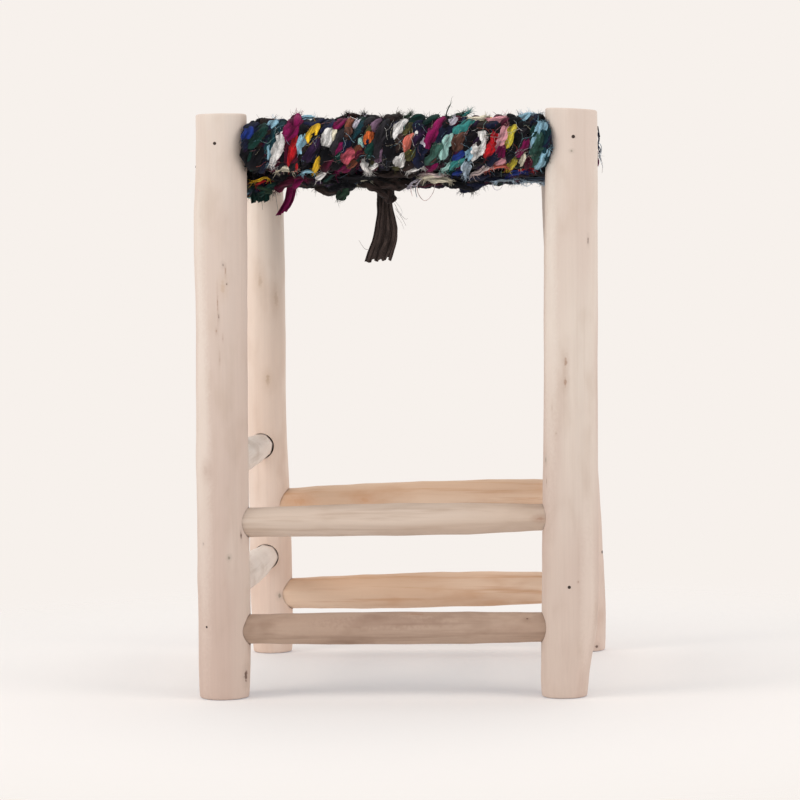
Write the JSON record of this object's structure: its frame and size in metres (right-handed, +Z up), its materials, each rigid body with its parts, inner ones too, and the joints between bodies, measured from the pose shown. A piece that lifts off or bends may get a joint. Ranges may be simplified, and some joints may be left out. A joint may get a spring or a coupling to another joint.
{
  "type": "kursi stool",
  "caption": "Square kursi stool: debarked wooden posts, whittled round stretchers let into them, and a flat seat wound with multicoloured rag rope.",
  "frame": {"origin": "middle of the footprint, on the floor that the feet stand on", "axes": "+Z up, the front of the stool towards -Y, +X to the right seen from the front"},
  "size_m": [0.3136, 0.3086, 0.45],
  "materials": {
    "post_wood": "debarked, bare, dry",
    "front_stick_wood": "whittled, bare, greyed",
    "rear_stick_wood": "whittled, bare, warm",
    "side_stick_wood": "whittled, bare",
    "rail_wood": "whittled, bare",
    "nail_steel": "dull, dark",
    "rag_rope": "twisted cotton rags of many colours, frayed",
    "rag_rope_under": "twisted cotton rags, mostly dark, frayed",
    "brown_rag": "thin crumpled cotton",
    "magenta_rag": "thin crumpled cotton",
    "green_rag": "thin crumpled cotton"
  },
  "bodies": {
    "root": {"front_left_post": "post_wood", "front_right_post": "post_wood", "rear_left_post": "post_wood", "rear_right_post": "post_wood", "front_seat_rail": "rail_wood", "rear_seat_rail": "rail_wood", "left_seat_rail": "rail_wood", "right_seat_rail": "rail_wood", "front_upper_stretcher": "front_stick_wood", "front_lower_stretcher": "front_stick_wood", "rear_upper_stretcher": "rear_stick_wood", "rear_lower_stretcher": "rear_stick_wood", "left_upper_stretcher": "side_stick_wood", "left_lower_stretcher": "side_stick_wood", "right_upper_stretcher": "side_stick_wood", "right_lower_stretcher": "side_stick_wood", "front_to_rear_rope": "rag_rope", "side_to_side_rope": "rag_rope_under", "brown_rag_tail": "brown_rag", "magenta_rag_tail": "magenta_rag", "green_rag_tail": "green_rag", "front_rail_left_nail": "nail_steel", "front_rail_right_nail": "nail_steel", "rear_rail_left_nail": "nail_steel", "rear_rail_right_nail": "nail_steel", "left_rail_front_nail": "nail_steel", "left_rail_rear_nail": "nail_steel", "right_rail_front_nail": "nail_steel", "right_rail_rear_nail": "nail_steel", "front_lower_left_nail": "nail_steel", "right_lower_front_nail": "nail_steel", "right_lower_rear_nail": "nail_steel"}
  },
  "joints": []
}
